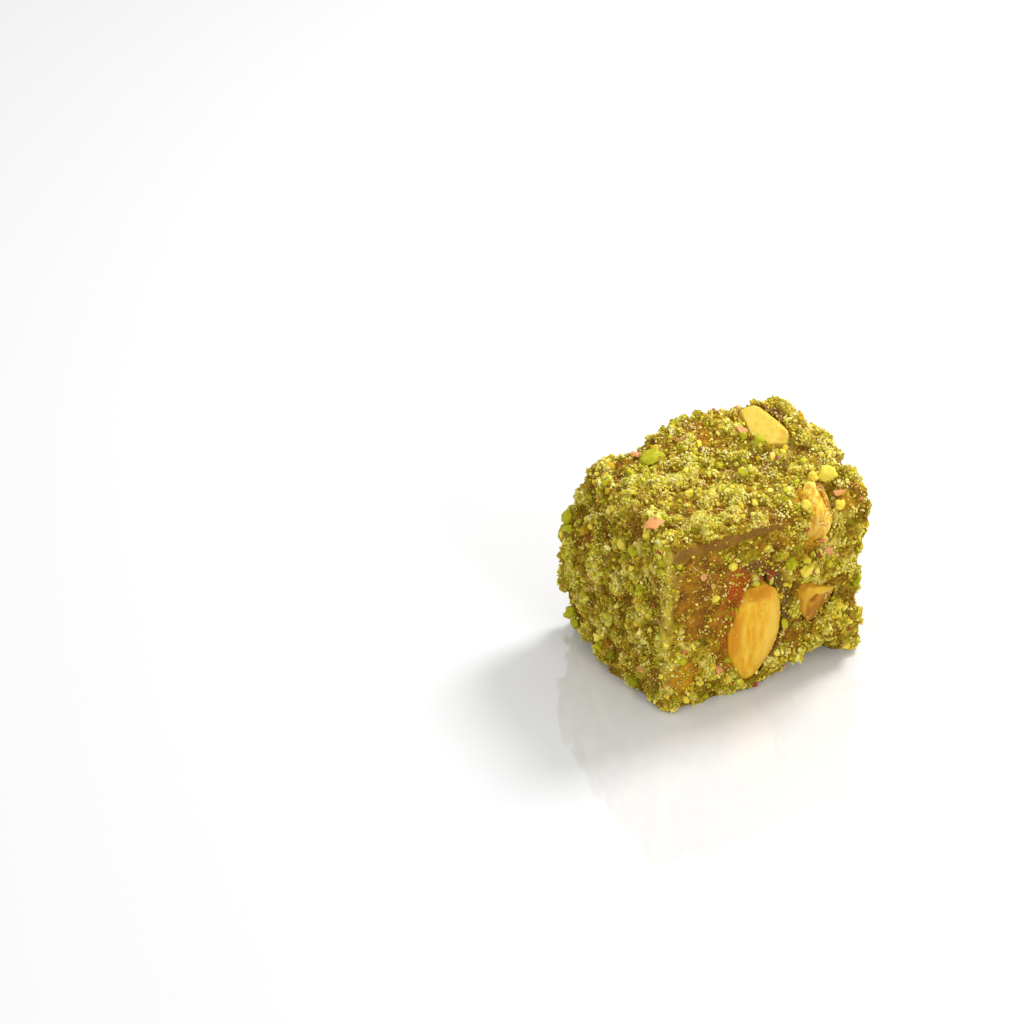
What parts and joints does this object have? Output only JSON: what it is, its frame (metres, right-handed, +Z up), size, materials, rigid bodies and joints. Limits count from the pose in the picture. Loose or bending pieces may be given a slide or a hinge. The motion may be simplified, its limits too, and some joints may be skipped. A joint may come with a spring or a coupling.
{
  "type": "turkish delight",
  "caption": "Hand-cut cube of amber lokum jelly rolled in coarse ground pistachio, with almond kernels set flush in its faces and a flat underside to rest on.",
  "frame": {"origin": "middle of the whole piece's box, on the table that it rests on", "axes": "+Z up, +X along the longer cut face, -Y out of the front face that shows the large almond"},
  "size_m": [0.0364, 0.0268, 0.0285],
  "materials": {
    "coated_jelly": "soft amber jelly under matt crumbs of ground pistachio",
    "almond": "smooth syrup-soaked almond, low gloss",
    "pale_kernel": "creased pale yellow kernel, satin",
    "amber_kernel": "broken amber kernel, low gloss"
  },
  "bodies": {
    "root": {"lokum_block": "coated_jelly", "almond_front": "almond", "kernel_top": "pale_kernel", "kernel_edge": "pale_kernel", "kernel_chip": "amber_kernel", "kernel_back": "almond", "kernel_right": "pale_kernel"}
  },
  "joints": []
}
